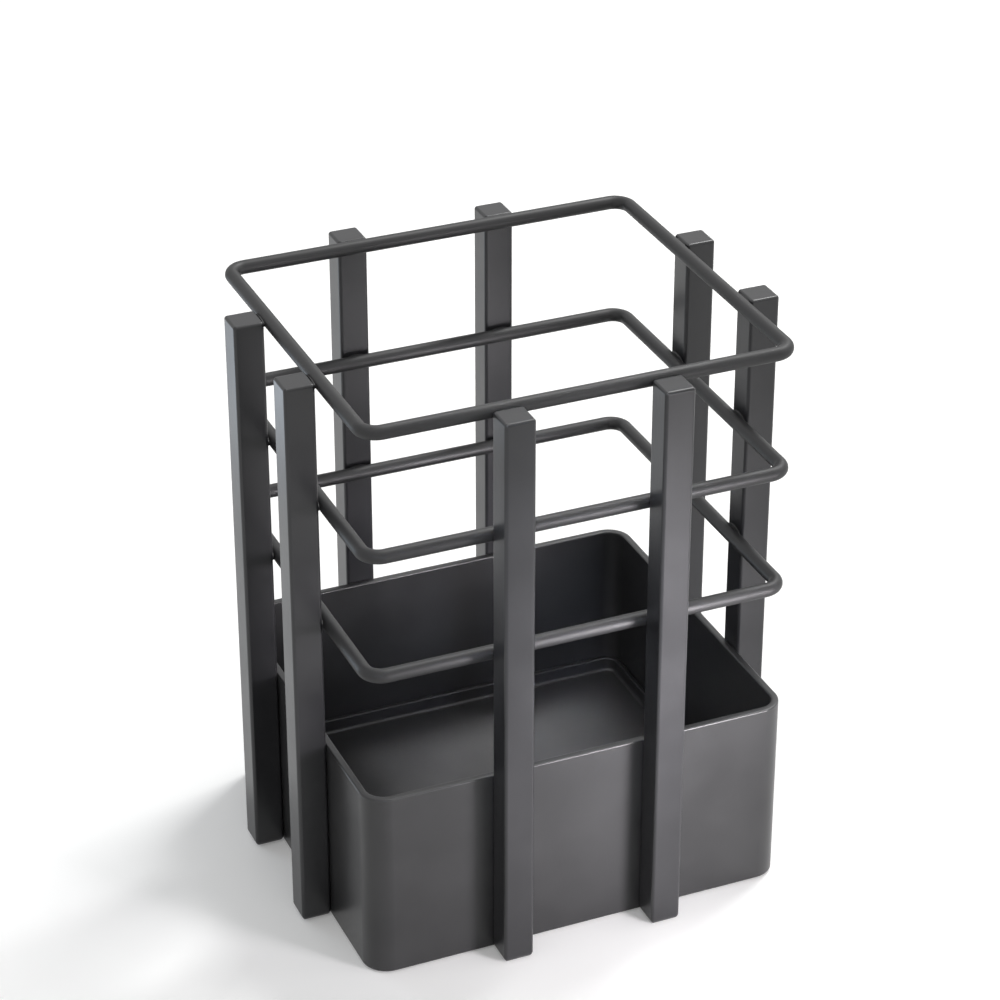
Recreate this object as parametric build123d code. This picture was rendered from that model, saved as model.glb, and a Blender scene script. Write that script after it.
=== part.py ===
from build123d import *
import os

os.makedirs("parts", exist_ok=True)

# Flatware holder welded from square bar, round wire and sheet steel, powder coated.
# Millimetres, +Z up. The origin is on the ground under the middle of the holder,
# the wide sides face front (-Y) and back (+Y).

# Hoops of round wire
hoop_width = 92.0          # across the outside of the wire, left to right
hoop_depth = 81.0          # across the outside of the wire, front to back
wire_diameter = 2.9        # with its coat
hoop_corner_radius = 5.0   # to the outside of the wire
lowest_hoop_height = 70.3  # ground to the centre of the wire
hoop_pitch = 26.6          # centre to centre, one hoop above the next

# Posts of square bar
post_side = 6.4            # 1/4 inch bar with its coat
post_edge_radius = 0.7     # the four long edges
post_top_radius = 0.6      # around the top end
post_foot_radius = 1.6     # around the end that stands on the table
hoop_above_posts = 0.6     # the top hoop stands this much higher than the ends of the posts
wide_side_spacing = 33.0   # centre to centre of the two posts at the front, and at the back
narrow_side_spacing = 29.0 # centre to centre of the two posts at the left, and at the right

# Welds between the wire and the posts
weld_root = 0.3            # weld metal left between the wire and the face of the post
weld_half_height = 1.1     # up and down from the centre of the wire, on the post

# Tray: an upright wall of sheet, open below, and a floor pan pressed with a lip
wall_thickness = 1.6
wall_edge_radius = 0.35    # coat rounding of the rim and of the lower edge
rim_height = 42.4
wall_ground_gap = 0.4      # the wall clears the ground by this much
floor_thickness = 1.2
floor_height = 6.6         # ground to the top of the floor
lip_height = 3.1           # floor to the top edge of the lip
floor_bend_radius = 0.8    # inside of the bend between floor and lip

overrun = 5.0              # how far a cutting shape reaches past what it cuts

# Places that follow from the sizes above
wire_radius = wire_diameter / 2
hoops = {
    "hoop_lower": lowest_hoop_height,
    "hoop_middle": lowest_hoop_height + hoop_pitch,
    "hoop_top": lowest_hoop_height + 2 * hoop_pitch,
}
post_height = hoops["hoop_top"] + wire_radius - hoop_above_posts
tray_width = hoop_width + 2 * weld_root
tray_depth = hoop_depth + 2 * weld_root
tray_corner_radius = hoop_corner_radius + weld_root
side_x = tray_width / 2 + post_side / 2
side_y = tray_depth / 2 + post_side / 2
quarter_turn_angle = 90.0  # degrees, from each side to the next

# The four sides in turn, seen from above: the names of the posts, their spacing and how far out they stand
sides = [
    ("post_front_left", "post_front_right", wide_side_spacing, side_y),
    ("post_right_front", "post_right_back", narrow_side_spacing, side_x),
    ("post_back_right", "post_back_left", wide_side_spacing, side_y),
    ("post_left_back", "post_left_front", narrow_side_spacing, side_x),
]

# Where each post stands. Every post is placed as one at the front and then turned about the middle.
post_places = {}
for quarter, (first, second, spacing, distance) in enumerate(sides):
    turn = Rot(0, 0, quarter * quarter_turn_angle)
    post_places[first] = turn * Pos(-spacing / 2, -distance, 0)
    post_places[second] = turn * Pos(spacing / 2, -distance, 0)


def save(name, shape):
    shape.label = name
    export_step(shape, f"parts/{name}.step")


def rounded_block(width, depth, radius, bottom, top):
    outline = Pos(0, 0, bottom) * RectangleRounded(width, depth, radius)
    return extrude(outline, amount=top - bottom)


# One post: square bar with rounded long edges, a lightly rounded top and a rounder foot
def make_post():
    bar = rounded_block(post_side, post_side, post_edge_radius, 0, post_height)
    bar = fillet(bar.edges().group_by(Axis.Z)[-1], radius=post_top_radius)
    return fillet(bar.edges().group_by(Axis.Z)[0], radius=post_foot_radius)


# A closed hoop: the round section follows a rounded rectangle through the middle of the wire
def make_hoop(height):
    path_width = hoop_width - wire_diameter
    path_depth = hoop_depth - wire_diameter
    path_radius = hoop_corner_radius - wire_radius
    path = (Pos(0, 0, height) * RectangleRounded(path_width, path_depth, path_radius)).wire()
    section = Plane(origin=path @ 0, z_dir=path % 0) * Circle(wire_radius)
    return sweep(section, path=path)


# Weld metal in the wedge between the wire and the inner face of a post at the front, above and
# below the root. The middle of the post is at the origin, and so is the height of the wire.
# At the top hoop the metal ends lower, on the rounding of the end of the post.
def make_weld(height):
    wire_centre = weld_root + wire_radius
    upper = min(weld_half_height, post_height - height - post_top_radius / 4)
    wedge = make_face(Polyline((0, upper), (0, -weld_half_height), (wire_centre, 0), close=True))
    profile = wedge - Pos(wire_centre, 0) * Circle(wire_radius)
    across_the_wire = Plane(origin=(0, post_side / 2, 0), x_dir=(0, 1, 0), z_dir=(1, 0, 0))
    flat_of_post = post_side - 2 * post_edge_radius
    return extrude(across_the_wire * profile, amount=flat_of_post / 2, both=True)


# The upright sheet wall, a closed band that stands inside the eight posts
def make_wall():
    band = rounded_block(tray_width, tray_depth, tray_corner_radius, wall_ground_gap, rim_height)
    inner_width = tray_width - 2 * wall_thickness
    inner_depth = tray_depth - 2 * wall_thickness
    inner_radius = tray_corner_radius - wall_thickness
    band -= rounded_block(inner_width, inner_depth, inner_radius, -overrun, rim_height + overrun)
    levels = band.edges().group_by(Axis.Z)
    return fillet(levels[0] + levels[-1], radius=wall_edge_radius)


# The floor pan: a flat sheet with its edge turned up against the inside of the wall
def make_floor():
    width = tray_width - 2 * wall_thickness
    depth = tray_depth - 2 * wall_thickness
    radius = tray_corner_radius - wall_thickness
    under = floor_height - floor_thickness
    lip_top = floor_height + lip_height
    pan = rounded_block(width, depth, radius, under, lip_top)
    pan = fillet(pan.edges().group_by(Axis.Z)[0], radius=floor_bend_radius + floor_thickness)
    inner_width = width - 2 * floor_thickness
    inner_depth = depth - 2 * floor_thickness
    inner_radius = radius - floor_thickness
    hollow = rounded_block(inner_width, inner_depth, inner_radius, floor_height, lip_top + overrun)
    hollow = fillet(hollow.edges().group_by(Axis.Z)[0], radius=floor_bend_radius)
    return pan - hollow


post = make_post()
for name, place in post_places.items():
    save(name, place * post)

for name, height in hoops.items():
    save(name, make_hoop(height))
    weld = make_weld(height)
    welds = [place * Pos(0, 0, height) * weld for place in post_places.values()]
    save(name + "_welds", Compound(children=welds))

save("tray_wall", make_wall())
save("tray_floor", make_floor())
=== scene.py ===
import math
import bmesh
import bpy
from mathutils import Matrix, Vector


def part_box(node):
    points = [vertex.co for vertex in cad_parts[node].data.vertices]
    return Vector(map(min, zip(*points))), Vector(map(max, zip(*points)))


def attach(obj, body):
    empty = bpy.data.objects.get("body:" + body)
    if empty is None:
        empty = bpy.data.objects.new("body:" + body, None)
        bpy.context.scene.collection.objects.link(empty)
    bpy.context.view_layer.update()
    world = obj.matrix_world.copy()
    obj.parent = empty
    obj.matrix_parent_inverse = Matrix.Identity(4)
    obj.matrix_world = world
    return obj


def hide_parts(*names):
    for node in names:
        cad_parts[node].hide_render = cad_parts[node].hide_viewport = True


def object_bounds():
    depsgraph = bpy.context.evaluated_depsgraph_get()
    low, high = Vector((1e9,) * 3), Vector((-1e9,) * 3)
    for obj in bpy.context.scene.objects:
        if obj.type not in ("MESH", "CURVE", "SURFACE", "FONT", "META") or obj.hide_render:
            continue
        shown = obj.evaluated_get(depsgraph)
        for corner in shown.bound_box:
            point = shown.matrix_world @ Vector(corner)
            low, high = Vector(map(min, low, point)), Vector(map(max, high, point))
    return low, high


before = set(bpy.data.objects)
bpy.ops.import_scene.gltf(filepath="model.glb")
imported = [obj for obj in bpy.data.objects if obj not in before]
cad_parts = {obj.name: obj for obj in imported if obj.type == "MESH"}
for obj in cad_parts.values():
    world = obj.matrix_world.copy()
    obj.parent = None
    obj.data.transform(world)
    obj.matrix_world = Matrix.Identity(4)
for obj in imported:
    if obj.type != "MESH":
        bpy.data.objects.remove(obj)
cadLow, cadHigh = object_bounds()
print("frame loaded:", len(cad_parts), "nodes")

mm = 0.001  # the scene is in metres


def linearColour(hexCode):  # sRGB hex to the linear values that shaders take
    values = []
    for start in (0, 2, 4):
        part = int(hexCode[start:start + 2], 16) / 255
        values.append(part / 12.92 if part <= 0.04045 else ((part + 0.055) / 1.055) ** 2.4)
    return (*values, 1.0)


def addNode(tree, kind, values=None, links=None, **settings):
    node = tree.nodes.new(kind)
    for name, value in settings.items():
        setattr(node, name, value)
    for name, value in (values or {}).items():
        node.inputs[name].default_value = value
    for name, source in (links or {}).items():
        tree.links.new(source, node.inputs[name])
    return node


# Polyester powder coat, sprayed dry and baked until it flows: a satin black plastic skin with a faint
# orange peel about a millimetre across. Its own grain is near 0.1 mm, too fine for the picture, so it is
# drawn at grainSize. The shade and the gloss drift a little where the spray passed twice. The coat is
# painted a touch paler on the open sheet than on the narrow bars, as painted light, and darker on the
# wire, as painted shade; the wire is also duller.
coat = {
    "driftSize": 16 * mm,
    "driftDetail": 3.0,
    "driftRange": (0.35, 0.65),  # the part of the noise that is spread over a whole pair of values
    "peelSize": 1.2 * mm,
    "peelDetail": 1.0,
    "peelDepth": 0.012 * mm,
    "grainSize": 0.35 * mm,
    "grainDetail": 2.0,
    "grainDepth": 0.004 * mm,
    "ior": 1.5,
    "onBar": {"shade": "222224", "paleShade": "28282a", "smoothest": 0.30, "roughest": 0.36},
    # on the wire the shade is painted darker, as painted shade
    "onWirePaintedDarker": {"shade": "1a1a1b", "paleShade": "202021", "smoothest": 0.50, "roughest": 0.56},
    # on the sheet the shade is painted paler, as painted light lifting the shaded tray
    "onSheetPaintedPaler": {"shade": "262627", "paleShade": "2c2c2d", "smoothest": 0.30, "roughest": 0.38},
}

# The same coat on the tray floor: a paler patch, dulled and rubbed to grey by use and lifted further by
# painted light, that fades back to the plain coat near the lip as painted shade
patchOfWearAndPaintedLight = {
    "shade": "484849",
    "paleShade": "525253",
    "smoothest": 0.46,
    "roughest": 0.58,
    "middle": (8 * mm, 10 * mm),  # the patch sits a little to the back right, seen from the front, where painted light lifts the walls' shadow
    "fullWearAndPaintedLight": (25 * mm, 15 * mm),  # from there to where the patch starts to fade
    # over this the patch fades to the plain coat beside the lip, as painted shade
    "fade": 12 * mm,
    "unevenness": 3 * mm,
    "cornerBlend": 8 * mm,
}


def patchyShade(tree, look, amount):  # drifts between the two shades of a coat
    ends = {6: linearColour(look["shade"]), 7: linearColour(look["paleShade"])}
    return addNode(tree, "ShaderNodeMix", ends, {0: amount}, data_type="RGBA").outputs[2]


def shareOfWearAndPaintedLight(tree, place, amount):  # 1 on the full patch of wear and painted light, 0 beside the lip where painted shade darkens it
    split = addNode(tree, "ShaderNodeSeparateXYZ", links=place)
    reach = []
    for axis, middle, half in zip("XY", patchOfWearAndPaintedLight["middle"], patchOfWearAndPaintedLight["fullWearAndPaintedLight"]):
        offset = addNode(tree, "ShaderNodeMath", {1: middle}, {0: split.outputs[axis]},
                         operation="SUBTRACT")
        size = addNode(tree, "ShaderNodeMath", links={0: offset.outputs[0]}, operation="ABSOLUTE")
        past = addNode(tree, "ShaderNodeMath", {1: half}, {0: size.outputs[0]}, operation="SUBTRACT")
        reach.append(past.outputs[0])
    past = addNode(tree, "ShaderNodeMath", {2: patchOfWearAndPaintedLight["cornerBlend"]}, {0: reach[0], 1: reach[1]},
                   operation="SMOOTH_MAX")
    uneven = addNode(tree, "ShaderNodeMath", {1: patchOfWearAndPaintedLight["unevenness"]}, {0: amount, 2: past.outputs[0]},
                     operation="MULTIPLY_ADD")
    fall = {"From Min": 0.0, "From Max": patchOfWearAndPaintedLight["fade"], "To Min": 1.0, "To Max": 0.0}
    share = addNode(tree, "ShaderNodeMapRange", fall, {"Value": uneven.outputs[0]},
                    interpolation_type="SMOOTHSTEP")
    return share.outputs["Result"]


def powderCoat(name, look, hasWearAndPaintedLight=False):
    material = bpy.data.materials.new(name)
    material.use_nodes = True
    tree = material.node_tree
    tree.nodes.clear()
    place = {"Vector": addNode(tree, "ShaderNodeTexCoord").outputs["Object"]}
    noise = {}
    for kind in ("drift", "peel", "grain"):
        values = {"Scale": 1 / coat[kind + "Size"], "Detail": coat[kind + "Detail"]}
        noise[kind] = addNode(tree, "ShaderNodeTexNoise", values, place).outputs["Fac"]
    low, high = coat["driftRange"]
    spread = addNode(tree, "ShaderNodeMapRange", {"From Min": low, "From Max": high},
                     {"Value": noise["drift"]})
    amount = spread.outputs["Result"]
    shade = patchyShade(tree, look, amount)
    gloss = addNode(tree, "ShaderNodeMapRange", {"To Min": look["smoothest"], "To Max": look["roughest"]},
                    {"Value": amount}).outputs["Result"]
    if hasWearAndPaintedLight:
        share = shareOfWearAndPaintedLight(tree, place, amount)
        ends = {"To Min": patchOfWearAndPaintedLight["smoothest"], "To Max": patchOfWearAndPaintedLight["roughest"]}
        dulled = addNode(tree, "ShaderNodeMapRange", ends, {"Value": amount}).outputs["Result"]
        # the tray floor's paler patch: wear and painted light, fading to painted shade toward the lip
        wearAndPaintedLightEnds = {0: share, 6: shade, 7: patchyShade(tree, patchOfWearAndPaintedLight, amount)}
        shade = addNode(tree, "ShaderNodeMix", links=wearAndPaintedLightEnds, data_type="RGBA").outputs[2]
        gloss = addNode(tree, "ShaderNodeMix", links={0: share, 2: gloss, 3: dulled}).outputs[0]
    wavy = addNode(tree, "ShaderNodeBump", {"Strength": 1.0, "Distance": coat["peelDepth"]},
                   {"Height": noise["peel"]})
    fine = addNode(tree, "ShaderNodeBump", {"Strength": 1.0, "Distance": coat["grainDepth"]},
                   {"Height": noise["grain"], "Normal": wavy.outputs["Normal"]})
    skin = addNode(tree, "ShaderNodeBsdfPrincipled", {"IOR": coat["ior"], "Metallic": 0.0},
                   {"Base Color": shade, "Roughness": gloss, "Normal": fine.outputs["Normal"]})
    addNode(tree, "ShaderNodeOutputMaterial", links={"Surface": skin.outputs["BSDF"]})
    return material


barCoat = powderCoat("powder_coat_on_bar", coat["onBar"])
wireCoat = powderCoat("powder_coat_on_wire_painted_darker", coat["onWirePaintedDarker"])
sheetCoat = powderCoat("powder_coat_on_sheet_painted_paler", coat["onSheetPaintedPaler"])
trayFloorCoat = powderCoat("powder_coat_on_tray_floor_worn_with_painted_light", coat["onSheetPaintedPaler"], hasWearAndPaintedLight=True)
print("materials made")


def arc(centreOut, centreUp, radius, start, end, steps):  # (out, up) points of an arc, angles in degrees
    points = []
    for step in range(steps + 1):
        angle = math.radians(start + (end - start) * step / steps)
        points.append((centreOut + radius * math.cos(angle), centreUp + radius * math.sin(angle)))
    return points


leastCorner = 0.1 * mm  # no ring turns sharper than this


def ring(size, out, up, steps):  # a rounded rectangle moved outwards by out, at height up
    width, depth, radius = size
    corner = max(radius + out, leastCorner)
    points = []
    for signX, signY, start in ((1, 1, 0), (-1, 1, 90), (-1, -1, 180), (1, -1, 270)):
        centreX = signX * (width / 2 + out - corner)
        centreY = signY * (depth / 2 + out - corner)
        points += [Vector((x, y, up)) for x, y in arc(centreX, centreY, corner, start, start + 90, steps)]
    return points


def skinLoops(name, loops, material, closed=False):  # one mesh through a row of point loops
    mesh = bpy.data.meshes.new(name)
    count = len(loops[0])
    faces = []
    for here in range(len(loops) if closed else len(loops) - 1):
        first, second = here * count, (here + 1) % len(loops) * count
        for step in range(count):
            after = (step + 1) % count
            faces.append((first + step, first + after, second + after, second + step))
    if not closed:
        faces.append(tuple(range(count)))
        faces.append(tuple(range((len(loops) - 1) * count, len(loops) * count)))
    mesh.from_pydata([point for loop in loops for point in loop], [], faces)
    work = bmesh.new()
    work.from_mesh(mesh)
    bmesh.ops.recalc_face_normals(work, faces=work.faces)
    work.to_mesh(mesh)
    work.free()
    mesh.shade_smooth()
    mesh.materials.append(material)
    piece = bpy.data.objects.new(name, mesh)
    bpy.context.collection.objects.link(piece)
    return piece


flatFaceWeight = 80  # how far the large faces rule the shading at the rounded edges


def settle(piece, *nodes):
    piece.modifiers.new("flatFaces", "WEIGHTED_NORMAL").weight = flatFaceWeight
    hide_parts(*nodes)
    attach(piece, "root")


# Camera at the photograph's angle, looking down on the front left corner
camera = {"place": (-229.9 * mm, -537.6 * mm, 406.8 * mm), "turn": 23.09, "tilt": 29.20, "lens": 117.27,
          "sensor": 36, "nearest": 10 * mm}  # turn and tilt in degrees, lens and sensor in mm


def makeCamera():
    data = bpy.data.cameras.new("camera")
    data.sensor_width = camera["sensor"]
    data.lens = camera["lens"]
    data.clip_start = camera["nearest"]
    item = bpy.data.objects.new("camera", data)
    item.location = camera["place"]
    item.rotation_euler = (math.radians(90 - camera["tilt"]), 0, math.radians(-camera["turn"]))
    bpy.context.collection.objects.link(item)
    bpy.context.scene.camera = item


makeCamera()
print("camera set")

# Posts of square bar
post = {"edgeRadius": 0.7 * mm, "topRadius": 0.6 * mm, "footRadius": 1.6 * mm, "cornerSteps": 6,
        "footSteps": 9, "topSteps": 6}


def makePost(node):
    low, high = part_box(node)
    side = high.x - low.x
    size = (side, side, post["edgeRadius"])
    foot, top = post["footRadius"], post["topRadius"]
    profile = arc(-foot, foot, foot, -90, 0, post["footSteps"])
    profile += arc(-top, high.z - top, top, 0, 90, post["topSteps"])
    middle = Vector(((low.x + high.x) / 2, (low.y + high.y) / 2, low.z))
    loops = [[point + middle for point in ring(size, out, up, post["cornerSteps"])] for out, up in profile]
    settle(skinLoops(node + "_bar", loops, barCoat), node)


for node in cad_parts:
    if node.startswith("post_"):
        makePost(node)
print("posts made")

# Hoops of round wire, bent to a rounded rectangle and closed
hoop = {"cornerRadius": 5.0 * mm, "cornerSteps": 14, "roundSteps": 32}
hoopNodes = ("hoop_top", "hoop_middle", "hoop_lower")


def makeHoop(node):
    low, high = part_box(node)
    radius = (high.z - low.z) / 2
    width, depth = high.x - low.x - 2 * radius, high.y - low.y - 2 * radius
    size = (width, depth, hoop["cornerRadius"] - radius)
    profile = arc(0, low.z + radius, radius, 0, 360, hoop["roundSteps"])[:-1]
    loops = [ring(size, out, up, hoop["cornerSteps"]) for out, up in profile]
    settle(skinLoops(node + "_wire", loops, wireCoat, closed=True), node)


for node in hoopNodes:
    makeHoop(node)
print("hoops made")

# Weld beads between the wire and the inner face of a post, with hollow flanks and tapered ends
weld = {
    "legHeight": 1.1 * mm,   # on the post, up and down from the middle of the wire
    "shortLeg": 0.68 * mm,   # the upper one at the top hoop, under the rounded end of the post
    "root": 0.3 * mm,        # between the post and the wire
    "length": 5.0 * mm,
    "endShare": 0.16,        # keeps the ends from closing to nothing
    "climb": 0.8,            # how far the bead climbs the wire, as a share of its leg
    "hollow": (0.45, 0.9),   # where the flank bends, as shares of where it meets the wire
    "sunk": (0.15, 0.5),     # the point inside the wire, as shares of its radius and of the climb
    "sections": 13,
    "flankSteps": 5,
}


def beadFlank(along, wireRadius, fullLeg):  # (inward, up) points of one half of a section
    left = 1 - (2 * along / weld["length"]) ** 2
    leg = fullLeg * math.sqrt(max(left, weld["endShare"]))
    middle = weld["root"] + wireRadius
    angle = math.asin(weld["climb"] * leg / wireRadius)
    start = Vector((0, leg))
    end = Vector((middle - wireRadius * math.cos(angle), wireRadius * math.sin(angle)))
    bend = Vector((end.x * weld["hollow"][0], end.y * weld["hollow"][1]))
    flank = []
    for step in range(weld["flankSteps"] + 1):  # a hollow curve from the post to the wire
        share = step / weld["flankSteps"]
        flank.append(start * (1 - share) ** 2 + bend * 2 * share * (1 - share) + end * share ** 2)
    inside = Vector((end.x + weld["sunk"][0] * wireRadius, end.y * weld["sunk"][1]))
    return flank + [inside]


def makeWelds(node, wireNode):
    low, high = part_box(wireNode)
    wireRadius, height = (high.z - low.z) / 2, (high.z + low.z) / 2
    upperLeg = weld["shortLeg"] if wireNode == "hoop_top" else weld["legHeight"]
    joined = []
    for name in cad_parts:
        if not name.startswith("post_"):
            continue
        postLow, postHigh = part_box(name)
        centre = (postLow + postHigh) / 2
        inward = Vector((0, -math.copysign(1, centre.y), 0))
        if abs(centre.x) > high.x:  # a post at the left or right side
            inward = Vector((-math.copysign(1, centre.x), 0, 0))
        side = inward.cross(Vector((0, 0, 1)))
        face = Vector((centre.x, centre.y, height)) + inward * (postHigh.x - postLow.x) / 2
        loops = []
        for step in range(weld["sections"]):
            along = weld["length"] * (step / (weld["sections"] - 1) - 0.5)
            upper = beadFlank(along, wireRadius, upperLeg)
            lower = beadFlank(along, wireRadius, weld["legHeight"])
            section = upper + [Vector((point.x, -point.y)) for point in reversed(lower)]
            loops.append([face + side * along + inward * p.x + Vector((0, 0, p.y)) for p in section])
        joined.append(skinLoops(name + "_bead", loops, wireCoat))
    with bpy.context.temp_override(active_object=joined[0], selected_editable_objects=joined):
        bpy.ops.object.join()
    joined[0].name = node + "_beads"
    joined[0].data.name = node + "_beads"
    settle(joined[0], node)


for node in hoopNodes:
    makeWelds(node + "_welds", node)
print("welds made")

# Tray: the upright wall of sheet and the floor pan pressed with a lip
tray = {"cornerRadius": 5.3 * mm, "wall": 1.6 * mm, "edgeRadius": 0.35 * mm, "cornerSteps": 16,
        "floorSheet": 1.2 * mm, "bend": 0.8 * mm, "lipEdge": 0.3 * mm,
        "edgeSteps": 5, "lipSteps": 4, "bendSteps": 8}


def makeTrayWall():
    low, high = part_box("tray_wall")
    size = (high.x - low.x, high.y - low.y, tray["cornerRadius"])
    edge, wall, steps = tray["edgeRadius"], tray["wall"], tray["edgeSteps"]
    profile = arc(-edge, low.z + edge, edge, -90, 0, steps)
    profile += arc(-edge, high.z - edge, edge, 0, 90, steps)
    profile += arc(-wall + edge, high.z - edge, edge, 90, 180, steps)
    profile += arc(-wall + edge, low.z + edge, edge, 180, 270, steps)
    loops = [ring(size, out, up, tray["cornerSteps"]) for out, up in profile]
    settle(skinLoops("tray_wall_sheet", loops, sheetCoat, closed=True), "tray_wall")


def makeTrayFloor():
    low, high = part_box("tray_floor")
    size = (high.x - low.x, high.y - low.y, tray["cornerRadius"] - tray["wall"])
    sheet, bend, edge = tray["floorSheet"], tray["bend"], tray["lipEdge"]
    outer = bend + sheet
    profile = arc(-outer, low.z + outer, outer, -90, 0, tray["bendSteps"])
    profile += arc(-edge, high.z - edge, edge, 0, 90, tray["lipSteps"])
    profile += arc(-sheet + edge, high.z - edge, edge, 90, 180, tray["lipSteps"])
    profile += arc(-outer, low.z + outer, bend, 0, -90, tray["bendSteps"])
    loops = [ring(size, out, up, tray["cornerSteps"]) for out, up in profile]
    settle(skinLoops("tray_floor_pan", loops, trayFloorCoat), "tray_floor")


makeTrayWall()
makeTrayFloor()
print("tray made")

# Studio: a floor of matt white paper, pressed without a coat, so that it has no shine and only takes the
# soft shadow, with an even white surround and soft boxes
studio = {
    "floorShade": "f4f4f3",
    "floorHalf": 6.0,        # metres from the middle to its edges
    "floorDrop": 0.02 * mm,  # below the feet
    "floorGlow": 0.15,       # seen by the camera and in reflections only
    "surround": 0.60,        # what the surround lights the object with, where 1 is white
}
softBoxes = {  # place and aim in mm, size in mm, spread in degrees
    "key": {"place": (500, 300, 900), "aim": (0, 0, 40), "size": (300, 300), "spread": 180,
            "watts": 6.5, "shade": "ffffff"},
    "highRight": {"place": (700, -300, 600), "aim": (0, 0, 40), "size": (400, 400), "spread": 180,
                  "watts": 0.6, "shade": "ffffff"},
    "overTray": {"place": (-110, -220, 560), "aim": (34, 28, 8), "size": (50, 50), "spread": 10,
                 "watts": 0.005, "shade": "ffffff"},
    "intoTray": {"place": (-150, -500, 400), "aim": (22, 38, 22), "size": (40, 40), "spread": 9,
                 "watts": 0.007, "shade": "dce6ff"},
    "lowStrip": {"place": (95, -190, 35), "aim": (4, -41, 25), "size": (50, 60), "spread": 42,
                 "watts": 0.033, "shade": "fffaff"},
    "midStrip": {"place": (85, -175, 75), "aim": (10, -45, 45), "size": (50, 50), "spread": 48,
                 "watts": 0.024, "shade": "fffaff"},
    "nearStrip": {"place": (60, -150, 70), "aim": (17, -47, 70), "size": (25, 60), "spread": 40,
                  "watts": 0.017, "shade": "fffaff"},
    "leftStrip": {"place": (-150, 150, 45), "aim": (-52, 5, 50), "size": (60, 60), "spread": 100,
                  "watts": 0.018, "shade": "d6eaff"},
}


def seenDirectly(tree):  # 1 for camera, glossy and transmission rays
    path = addNode(tree, "ShaderNodeLightPath")
    seen = path.outputs["Is Camera Ray"]
    for ray in ("Is Glossy Ray", "Is Transmission Ray"):
        either = addNode(tree, "ShaderNodeMath", links={0: seen, 1: path.outputs[ray]}, operation="MAXIMUM")
        seen = either.outputs[0]
    return seen


def makeSurround():
    world = bpy.data.worlds.new("surround")
    world.use_nodes = True
    tree = world.node_tree
    tree.nodes.clear()
    strength = addNode(tree, "ShaderNodeMapRange", {"To Min": studio["surround"], "To Max": 1.0},
                       {"Value": seenDirectly(tree)})
    light = addNode(tree, "ShaderNodeBackground", {"Color": (1, 1, 1, 1)},
                    {"Strength": strength.outputs["Result"]})
    addNode(tree, "ShaderNodeOutputWorld", links={"Surface": light.outputs["Background"]})
    bpy.context.scene.world = world


def makeFloor():
    material = bpy.data.materials.new("matt_white_paper")
    material.use_nodes = True
    tree = material.node_tree
    tree.nodes.clear()
    paper = addNode(tree, "ShaderNodeBsdfDiffuse", {"Color": linearColour(studio["floorShade"])})
    amount = addNode(tree, "ShaderNodeMath", {1: studio["floorGlow"]}, {0: seenDirectly(tree)},
                     operation="MULTIPLY")
    glow = addNode(tree, "ShaderNodeEmission", {"Color": (1, 1, 1, 1)}, {"Strength": amount.outputs[0]})
    both = addNode(tree, "ShaderNodeAddShader", links={0: paper.outputs[0], 1: glow.outputs[0]})
    addNode(tree, "ShaderNodeOutputMaterial", links={"Surface": both.outputs[0]})
    half, height = studio["floorHalf"], cadLow.z - studio["floorDrop"]
    mesh = bpy.data.meshes.new("studio_floor")
    corners = [(-half, -half, height), (half, -half, height), (half, half, height), (-half, half, height)]
    mesh.from_pydata(corners, [], [(0, 1, 2, 3)])
    mesh.materials.append(material)
    floor = bpy.data.objects.new("studio_floor", mesh)
    bpy.context.collection.objects.link(floor)


def makeSoftBox(name, box):
    data = bpy.data.lights.new(name, "AREA")
    data.shape = "RECTANGLE"
    data.size, data.size_y = box["size"][0] * mm, box["size"][1] * mm
    data.spread = math.radians(box["spread"])
    data.energy = box["watts"]
    data.color = linearColour(box["shade"])[:3]
    item = bpy.data.objects.new(name, data)
    item.location = Vector(box["place"]) * mm
    item.rotation_euler = (Vector(box["aim"]) * mm - item.location).to_track_quat("-Z", "Y").to_euler()
    item.visible_camera = False
    bpy.context.collection.objects.link(item)


makeSurround()
makeFloor()
for name, box in softBoxes.items():
    makeSoftBox(name, box)
bpy.context.scene.view_settings.view_transform = "Standard"
print("studio set")
